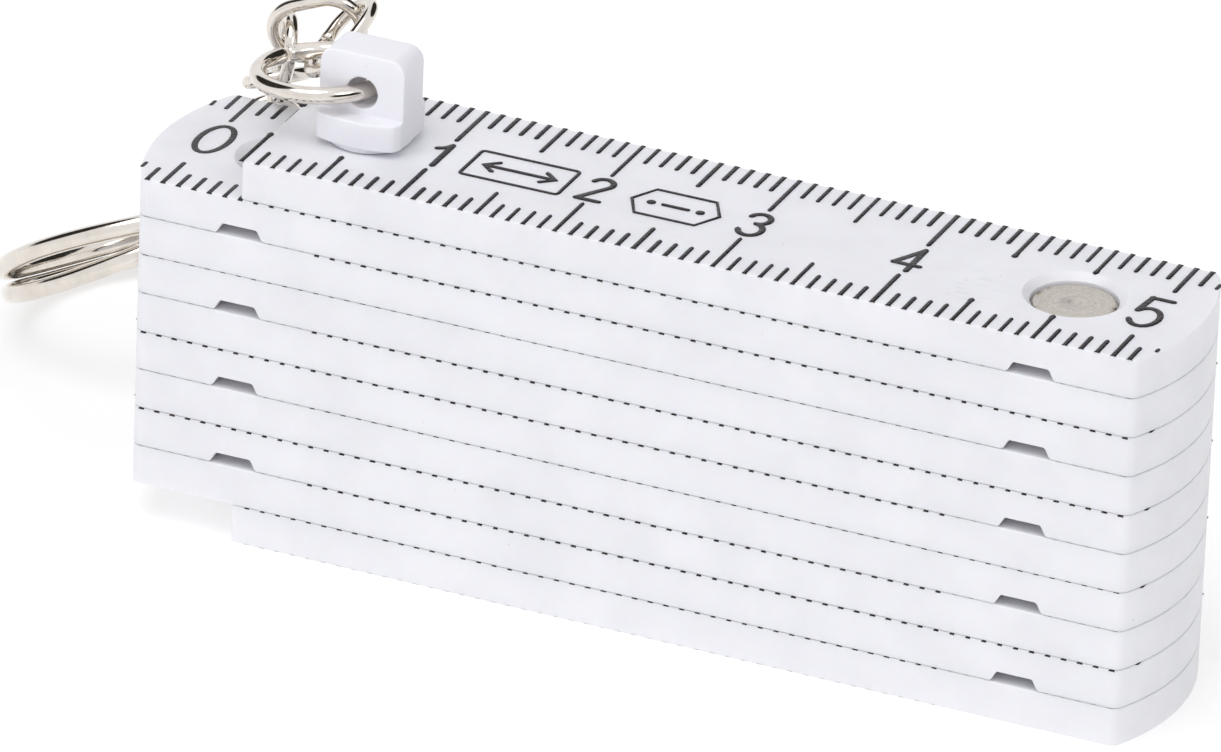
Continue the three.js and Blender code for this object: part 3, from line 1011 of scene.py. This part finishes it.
# Dark screens round the room, as azimuth, elevation and the cosine of their half angle.
SCREENS = ((-95, 35, 0.9), (150, 30, 0.86), (60, 12, 0.93))
TARGET = Vector((-5.32, 3.64, 11.03)) * MM
CAMERA_AZIMUTH = math.radians(22.70)
CAMERA_ELEVATION = math.radians(26.19)
CAMERA_ROLL = math.radians(2.325)
CAMERA_DISTANCE = 928.5 * MM
CAMERA_LENS = 464.77


def away(azimuth, elevation):
    """Unit vector from the object; azimuth 0 is in front of it and 90 to its right, in radians."""
    flat = math.cos(elevation)
    return Vector((math.sin(azimuth) * flat, -math.cos(azimuth) * flat, math.sin(elevation)))


def build_camera():
    """A long lens from the photo's direction."""
    data = bpy.data.cameras.new("camera")
    data.lens = CAMERA_LENS
    data.sensor_width = 36
    data.clip_start = 0.05
    data.clip_end = 50
    camera = bpy.data.objects.new("camera", data)
    bpy.context.scene.collection.objects.link(camera)
    back = away(CAMERA_AZIMUTH, CAMERA_ELEVATION)
    camera.location = TARGET + back * CAMERA_DISTANCE
    camera.rotation_mode = "QUATERNION"
    camera.rotation_quaternion = (-back).to_track_quat("-Z", "Y") @ Quaternion((0, 0, 1), CAMERA_ROLL)
    bpy.context.scene.camera = camera


def build_light(name, azimuth, elevation, distance, size, watts):
    """A round area light that faces the origin; angles in degrees, distance and size in metres."""
    data = bpy.data.lights.new(name, "AREA")
    data.shape = "DISK"
    data.size = size
    data.energy = watts
    light = bpy.data.objects.new(name, data)
    bpy.context.scene.collection.objects.link(light)
    back = away(math.radians(azimuth), math.radians(elevation))
    light.location = back * distance
    light.rotation_mode = "QUATERNION"
    light.rotation_quaternion = (-back).to_track_quat("-Z", "Y")


def build_floor():
    """A glowing white table, so that the object stands on plain white with hardly a shadow."""
    half = FLOOR_SIZE / 2
    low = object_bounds()[0].z
    corners = [(-half, -half, low), (half, -half, low), (half, half, low), (-half, half, low)]
    floor = mesh_object("floor", corners, [(0, 1, 2, 3)])
    recipe = Recipe("floor_white", FLOOR_COLOUR, 0.9)
    recipe.set("Specular IOR Level", 0.0)
    recipe.set("Emission Color", (1, 1, 1, 1))
    recipe.set("Emission Strength", FLOOR_GLOW)
    floor.data.materials.append(recipe.material)


def build_world():
    """A bright white room with a few dark screens that only polished metal shows."""
    world = bpy.data.worlds.new("studio")
    world.use_nodes = True
    tree = world.node_tree
    background = tree.nodes["Background"]
    look = tree.nodes.new("ShaderNodeTexCoord").outputs["Generated"]
    shade = None
    for azimuth, elevation, edge in SCREENS:
        dot = tree.nodes.new("ShaderNodeVectorMath")
        dot.operation = "DOT_PRODUCT"
        tree.links.new(look, dot.inputs[0])
        dot.inputs[1].default_value = away(math.radians(azimuth), math.radians(elevation))
        step = tree.nodes.new("ShaderNodeMapRange")
        step.inputs["From Min"].default_value = edge - 0.03
        step.inputs["From Max"].default_value = edge
        tree.links.new(dot.outputs["Value"], step.inputs["Value"])
        if shade is None:
            shade = step.outputs[0]
            continue
        most = tree.nodes.new("ShaderNodeMath")
        most.operation = "MAXIMUM"
        tree.links.new(shade, most.inputs[0])
        tree.links.new(step.outputs[0], most.inputs[1])
        shade = most.outputs[0]
    mix = tree.nodes.new("ShaderNodeMix")
    mix.data_type = "RGBA"
    tree.links.new(shade, mix.inputs[MIX_SHARE])
    mix.inputs[MIX_FIRST].default_value = ROOM
    mix.inputs[MIX_SECOND].default_value = SCREEN
    tree.links.new(mix.outputs[MIX_RESULT], background.inputs["Color"])
    background.inputs["Strength"].default_value = 1.0
    bpy.context.scene.world = world


# ---------------------------------------------------------------- the object

WHITE = (0.84, 0.84, 0.87)
WHITE_SHADED = (0.79, 0.79, 0.82)
EYELET_WHITE = (0.87, 0.865, 0.91)
EYELET_SHADED = (0.83, 0.825, 0.87)
LINKS = 7
# Smudges on the top face, as place, radius and depth.
HANDLED = [((19.0, -1.8, TOP), 3.2, 0.5), ((1.0, -3.2, TOP), 3.6, 0.3)]

plastic = plastic_material("plastic_white", WHITE, WHITE_SHADED)
plastic_top = plastic_material("plastic_white_handled", WHITE, WHITE_SHADED, HANDLED)
plastic_eyelet = plastic_material("plastic_white_eyelet", EYELET_WHITE, EYELET_SHADED)
ink = ink_material()
steel = rivet_material()
nickel = nickel_material()

for number in range(1, SEGMENTS + 1):
    build_segment(number, plastic_top if number == 1 else plastic)
    build_marks(number, ink)
    if number < SEGMENTS:
        build_rivet(number, steel)
build_eyelet(plastic_eyelet)
build_jump_ring(nickel)
for number in range(1, LINKS + 1):
    build_link(number, nickel)
build_key_ring(nickel)

build_floor()
build_world()
build_light("key", azimuth=-30, elevation=68, distance=1.2, size=0.8, watts=3.8)
build_light("fill", azimuth=60, elevation=40, distance=1.4, size=0.6, watts=1.9)
build_camera()
bpy.context.scene.view_settings.view_transform = "Standard"
